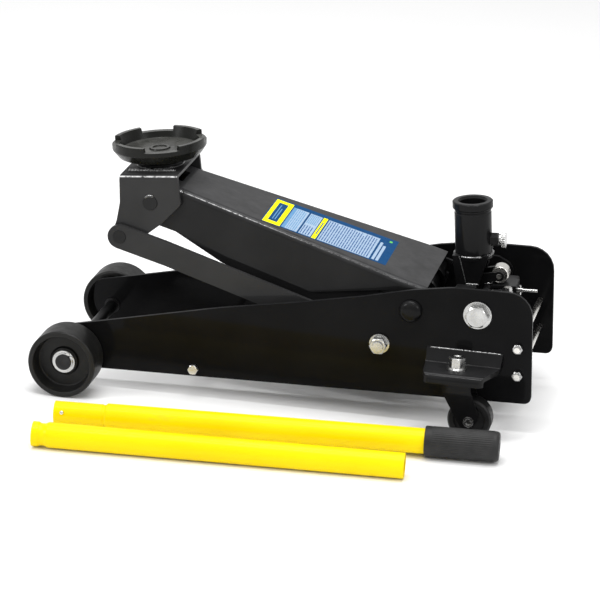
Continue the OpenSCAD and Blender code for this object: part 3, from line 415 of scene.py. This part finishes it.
def tube_mesh(rings, closed=False):
    """Skins rings of points; open tubes get flat ends."""
    n = len(rings[0])
    verts = [p for ring in rings for p in ring]
    faces = []
    last = len(rings) if closed else len(rings) - 1
    for i in range(last):
        k = (i + 1) % len(rings)
        for j in range(n):
            m = (j + 1) % n
            faces.append((i * n + j, i * n + m, k * n + m, k * n + j))
    if not closed:
        faces.append(tuple(range(n - 1, -1, -1)))
        faces.append(tuple((len(rings) - 1) * n + j for j in range(n)))
    return verts, faces


def sweep(path, radius_at, sides=10, closed=False, flat=1.0, up=Vector((0, 0, 1))):
    """Rings round a path of points; radius_at(i) gives each ring's radius, flat squeezes it along up."""
    rings = []
    n = len(path)
    for i, p in enumerate(path):
        before = path[i - 1] if (i or closed) else p
        after = path[(i + 1) % n] if (i < n - 1 or closed) else p
        along = (after - before).normalized()
        side = along.cross(up).normalized()
        top = side.cross(along)
        r = radius_at(i)
        rings.append([p + side * r * math.cos(a) + top * r * flat * math.sin(a)
                      for a in (2 * math.pi * k / sides for k in range(sides))])
    return tube_mesh(rings, closed)


def wobble(i, seed):
    """A repeatable uneven number between 0 and 1."""
    x = math.sin(i * 12.9898 + seed * 78.233) * 43758.5453
    return x - math.floor(x)


def weld_bead(name, path, radius, space, body, seed=1, closed=False, flat=0.7, up=Vector((0, 0, 1)),
              pitch=2.6):
    """A run of overlapping weld ripples along a path, in millimetres."""
    step = 0.55
    points = []
    for i in range(len(path) if closed else len(path) - 1):
        a, b = path[i], path[(i + 1) % len(path)]
        k = max(1, round((b - a).length / step))
        points += [a.lerp(b, t / k) for t in range(k)]
    if not closed:
        points.append(path[-1])
    n = len(points)

    def radius_at(i):
        ripple = (i * step / pitch) % 1
        blob = 0.82 + 0.18 * math.sin(math.pi * ripple) + 0.12 * (wobble(int(i * step / pitch), seed) - 0.5)
        end = 1.0 if closed else min(1.0, 0.35 + 0.3 * i, 0.35 + 0.3 * (n - 1 - i))
        return radius * blob * end

    verts, faces = sweep(points, radius_at, 10, closed, flat, up)
    return piece(name, verts, faces, space, body, [weld_paint])


def line(a, b):
    return [Vector(a), Vector(b)]


# ---- Welds ----

ring = [Vector((24.2 * math.cos(a), 24.2 * math.sin(a), -1.2))
        for a in (2 * math.pi * k / 60 for k in range(60))]
weld_bead("weld_socket_ring", ring, 2.1, socket_space, "handle_yoke", 3, closed=True, flat=0.8)
for side, tag in ((-1, "left"), (1, "right")):
    foot = line((503.5, side * 22.6, 146.2 - AXLE_Z), (521, side * 22.6, 146.2 - AXLE_Z))
    weld_bead(f"weld_neck_foot_{tag}", foot, 1.7, plate_space, "handle_yoke", 5 + side)
    neck = line((494.8, side * 22.4, 183 - AXLE_Z), (503.6, side * 22.4, 147 - AXLE_Z))
    weld_bead(f"weld_neck_edge_{tag}", neck, 1.3, plate_space, "handle_yoke", 9 + side, up=across)
    weld_bead(f"weld_shelf_{tag}",
              [Vector((470, side * 101.2, 106.2)), Vector((562, side * 101.2, 106.2))],
              2.0, basis(home, Vector((1, 0, 0)), across, Vector((0, 0, 1))), "frame", 12 + side)
    weld_bead(f"weld_bracket_top_{tag}", line((-32, side * 39, 37), (31, side * 39, 37)),
              3.4, head_space, "head", 20 + side, pitch=4.2)
    pin_ring = [Vector((9.2 * math.cos(a), side * 60.3, 9.2 * math.sin(a)))
                for a in (math.radians(k) for k in range(55, 136, 8))]
    weld_bead(f"weld_head_pin_{tag}", pin_ring, 2.0, head_space, "head", 30 + side, up=across, pitch=4)
collar_ring = [Vector((1.1 + 30.2 * math.cos(a), 30.2 * math.sin(a), 36.8))
               for a in (2 * math.pi * k / 60 for k in range(60))]
weld_bead("weld_collar_ring", collar_ring, 1.6, head_space, "head", 40, closed=True)


# ---- Label on the arm's top face: coloured film with ruled lines, no lettering ----

def label():
    long, wide, thick = 170.0, 99.0, 0.12
    verts, faces, indexes = [], [], []
    films = [film_blue, film_yellow, film_white, film_pale, film_ink, film_green]

    def patch(x0, x1, y0, y1, level, film):
        """Rectangle of the label, in shares of its length and width, as a thin slab."""
        k = len(verts)
        a, b = -thick, 0.03 * level
        xs, ys = (x0 * long, x1 * long), (y0 * wide, y1 * wide)
        corners = ((xs[0], ys[0]), (xs[1], ys[0]), (xs[1], ys[1]), (xs[0], ys[1]))
        verts.extend([(x, y, z) for z in (a, b) for x, y in corners])
        for f in ((3, 2, 1, 0), (4, 5, 6, 7), (0, 1, 5, 4), (1, 2, 6, 5), (2, 3, 7, 6), (3, 0, 4, 7)):
            faces.append(tuple(k + i for i in f))
            indexes.append(film)

    def rows(x0, x1, y0, y1, count, film, seed, fill=0.45):
        """Ruled lines across the label, each broken into runs of uneven length."""
        pitch = (x1 - x0) / count
        for i in range(count):
            y = y0
            part = 0
            while y < y1 - 0.02:
                run = 0.05 + 0.16 * wobble(part + 7 * i, seed)
                stop = min(y + run, y1 - 0.2 * (y1 - y0) * wobble(i, seed + 2) if i % 5 == 4 else y1)
                if stop - y > 0.012:
                    patch(x0 + i * pitch, x0 + (i + fill) * pitch, y, stop, 2, film)
                y += run + 0.014
                part += 1

    patch(0, 1, 0, 1, 0, 0)
    patch(0.008, 0.148, 0.012, 0.96, 1, 1)
    patch(0.04, 0.112, 0.12, 0.86, 2, 0)
    patch(0.062, 0.07, 0.2, 0.78, 3, 3)
    patch(0.082, 0.09, 0.2, 0.66, 3, 3)
    patch(0.158, 0.282, 0.03, 0.875, 1, 2)
    patch(0.158, 0.186, 0.03, 0.875, 1.5, 3)
    rows(0.194, 0.274, 0.06, 0.85, 5, 3, 3)
    patch(0.296, 0.392, 0.03, 0.875, 1, 2)
    rows(0.304, 0.386, 0.05, 0.4, 4, 4, 5, 0.35)
    rows(0.304, 0.386, 0.48, 0.85, 6, 3, 6)
    patch(0.4, 0.434, 0.02, 0.89, 1, 1)
    patch(0.413, 0.421, 0.2, 0.7, 2, 4)
    patch(0.446, 0.862, 0.03, 0.875, 1, 2)
    rows(0.456, 0.856, 0.055, 0.85, 20, 4, 11, 0.36)
    patch(0.878, 0.9, 0.05, 0.76, 1, 2)
    patch(0.91, 0.932, 0.05, 0.66, 1, 2)
    patch(0.935, 0.958, 0.86, 0.92, 1, 5)
    turn = Matrix.Rotation(math.radians(0.4), 4, "Z")
    place = arm_space @ Matrix.Translation(Vector((138.0, 5.2, 28.8 + thick)) * MM) @ turn
    corner = Matrix.Translation(Vector((-long / 2, -wide / 2, 0)) * MM)
    place = place @ Matrix.Rotation(math.pi, 4, "Z") @ corner
    piece("arm_label", verts, faces, place, "arm", films, smooth=False, indexes=indexes)


label()


# ---- Springs: round wire in place of the CAD's coarse coils ----

def spring(name, start, end, radius, wire, turns, node):
    axis = end - start
    length = axis.length
    z = axis.normalized()
    x = z.cross(across).normalized() if abs(z.dot(across)) < 0.9 else Vector((1, 0, 0))
    y = z.cross(x)
    per_turn = 20
    count = turns * per_turn
    dead = 1.4 * per_turn
    path = []
    for i in range(count + 1):
        a = 2 * math.pi * i / per_turn
        t = min(max((i - dead) / (count - 2 * dead), 0), 1)
        lead = min(i, dead) / dead * 2 * wire + max(0, i - (count - dead)) / dead * 2 * wire
        h = wire + lead + t * (length - 2 * wire - 4 * wire)
        path.append(start + (x * math.cos(a) + y * math.sin(a)) * radius + z * h)
    verts, faces = sweep([p / MM for p in path], lambda i: wire / MM, 8, up=z)
    obj = piece(name, verts, faces, Matrix.Identity(4), None, [MATERIALS["spring_steel"]])
    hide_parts(node)
    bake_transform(obj)


def at(space, x, y, z):
    return space @ (Vector((x, y, z)) * MM)


ram_front = 451.6 + 8
block_front = 525
return_z = 60 - AXLE_Z
for side, tag in ((-1, "left"), (1, "right")):
    spring(f"return_spring_{tag}", at(plate_space, block_front, side * 36, return_z),
           at(plate_space, ram_front, side * 36, return_z), 5 * MM, 1 * MM, 22, "return_springs")
plunger_x = 552
spring("pump_return_spring", at(plate_space, plunger_x, 0, 108 - AXLE_Z),
       at(plate_space, plunger_x, 0, 140.6 - AXLE_Z), 9 * MM, 1.2 * MM, 7, "pump_spring")


# ---- Grip: lengthwise ribs between two plain bands ----

def grip():
    yaw = math.radians(4.5)
    rise = math.atan2(3.5, 468)
    along = Vector((math.cos(yaw) * math.cos(rise), math.sin(yaw) * math.cos(rise), math.sin(rise)))
    side = Vector((-math.sin(yaw), math.cos(yaw), 0))
    half_length = 46.5
    begin = middle("handle_grip") - along * half_length * MM
    space = basis(begin, along.cross(side).normalized() * -1, side, along)
    ribs = 44
    rib_depth = 0.55
    # Radius, distance along and share of the rib depth
    around = ribs * 6
    profile = [(16.05, 0.0, 0), (18.4, 0.0, 0), (19.2, 0.5, 0), (19.4, 1.4, 0), (19.4, 7.4, 0),
               (19.1, 8.6, 0.0), (19.4, 9.8, 1), (19.4, 30, 1), (19.4, 50, 1), (19.4, 70, 1),
               (19.35, 85.5, 1), (19.0, 86.8, 0.2), (19.2, 88.2, 0), (18.6, 90.4, 0), (17.4, 92.2, 0),
               (16.2, 92.8, 0), (6.4, 92.8, 0), (5.4, 92.2, 0), (5.0, 91.0, 0), (5.0, 89.2, 0),
               (16.05, 89.0, 0)]
    rings = []
    for r, z, ribbed in profile:
        loop = []
        for k in range(around):
            a = 2 * math.pi * k / around
            dip = rib_depth * ribbed * max(0.0, math.cos(ribs * a)) ** 2
            loop.append(((r - dip) * math.cos(a), (r - dip) * math.sin(a), z))
        rings.append(loop)
    verts, faces = tube_mesh(rings, closed=True)
    obj = piece("grip_ribbed", verts, faces, space, "upper_handle", [MATERIALS["grip_rubber"]])
    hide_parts("handle_grip")


grip()


# ---- Floor, light and camera ----

bpy.ops.mesh.primitive_plane_add(size=60, location=(0, 0, -0.0004))
floor = bpy.context.object
floor.name = "floor"
ground = Shader("pale_floor", (0.86, 0.86, 0.86), 0.7, spec=0.2)
ground.to("Base Color", ground.mix(ground.noise(3, 2), (0.86, 0.86, 0.86), (0.885, 0.885, 0.885)))
floor.data.materials.append(ground.mat)

world = bpy.data.worlds.new("studio")
bpy.context.scene.world = world
world.use_nodes = True
world.node_tree.nodes["Background"].inputs["Color"].default_value = (1, 1, 1, 1)
world.node_tree.nodes["Background"].inputs["Strength"].default_value = 0.8
bpy.context.scene.view_settings.view_transform = "Standard"


def softbox(name, place, target, width, height, power):
    data = bpy.data.lights.new(name, "AREA")
    data.shape = "RECTANGLE"
    data.size = width
    data.size_y = height
    data.energy = power
    obj = bpy.data.objects.new(name, data)
    bpy.context.scene.collection.objects.link(obj)
    obj.location = home + Vector(place)
    aim = home + Vector(target) - obj.location
    obj.rotation_euler = aim.to_track_quat("-Z", "Y").to_euler()


softbox("top_box", (0.3, 0.3, 2.6), (0.3, 0, 0.1), 1.6, 1.2, 30)
softbox("strip_box", (0.3, -0.9, 2.6), (0.25, 0, 0.15), 2.0, 0.1, 26)
softbox("left_box", (-2.0, -1.8, 1.9), (0.25, 0, 0.15), 1.0, 1.0, 26)
softbox("right_box", (2.6, -1.4, 1.5), (0.3, 0, 0.15), 0.9, 0.9, 12)

cam_data = bpy.data.cameras.new("camera")
cam_data.sensor_width = 36
cam_data.lens = 184.56
cam_data.clip_end = 100
camera = bpy.data.objects.new("camera", cam_data)
bpy.context.scene.collection.objects.link(camera)
az, el, roll = (math.radians(v) for v in (11.604, 19.093, 2.293))
look = Vector((-math.sin(az) * math.cos(el), math.cos(az) * math.cos(el), -math.sin(el)))
right = Vector((math.cos(az), math.sin(az), 0))
up = right.cross(look)
cam_right = right * math.cos(roll) + up * math.sin(roll)
cam_up = up * math.cos(roll) - right * math.sin(roll)
camera_place = home + Vector((1.04224, -3.71613, 1.42743))
camera.matrix_world = basis(camera_place, cam_right, cam_up, -look)
bpy.context.scene.camera = camera
